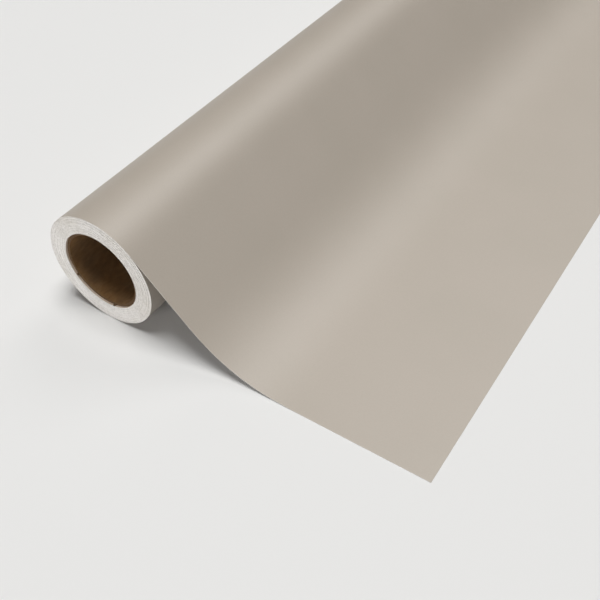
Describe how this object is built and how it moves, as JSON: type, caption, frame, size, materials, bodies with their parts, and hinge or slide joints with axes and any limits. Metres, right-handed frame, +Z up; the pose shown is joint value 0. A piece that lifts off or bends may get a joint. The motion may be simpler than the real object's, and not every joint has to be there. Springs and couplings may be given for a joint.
{
  "type": "backdrop paper roll",
  "caption": "Half-width roll of coated seamless backdrop paper on a board core, with its end drawn off the top and laid along the floor.",
  "frame": {"origin": "centre of the core's bore, half way along the roll", "axes": "+Y along the roll's axis, +X the way the sheet is drawn off, +Z up"},
  "size_m": [0.2986, 1.35, 0.0889],
  "materials": {
    "kraft_board": "matte",
    "core_board": "matte",
    "tape": "satin",
    "sheet_edge": "matte",
    "coated_sheet": "satin"
  },
  "bodies": {
    "drape": {"sheet_slope": "coated_sheet", "sheet_bend": "coated_sheet"},
    "roll": {"core_liner": "kraft_board", "core_ply_1": "core_board", "core_ply_2": "core_board", "core_ply_3": "core_board", "core_ply_4": "core_board", "core_wrap": "kraft_board", "start_tape": "tape", "wound_paper": "sheet_edge"},
    "apron": {"sheet_apron": "coated_sheet"}
  },
  "joints": [
    {"name": "roll_spin", "type": "hinge", "parent": "drape", "child": "roll", "pos_m": [0, 0, 0], "axis": [0, 1, 0], "range_deg": [0, 720]},
    {"name": "payout", "type": "slide", "parent": "drape", "child": "apron", "axis": [1, 0, 0], "range_m": [0, 0.5593]}
  ],
  "couplings": [
    {"joint": "payout", "follows": "roll_spin", "m_per_rad": 0.0445}
  ]
}
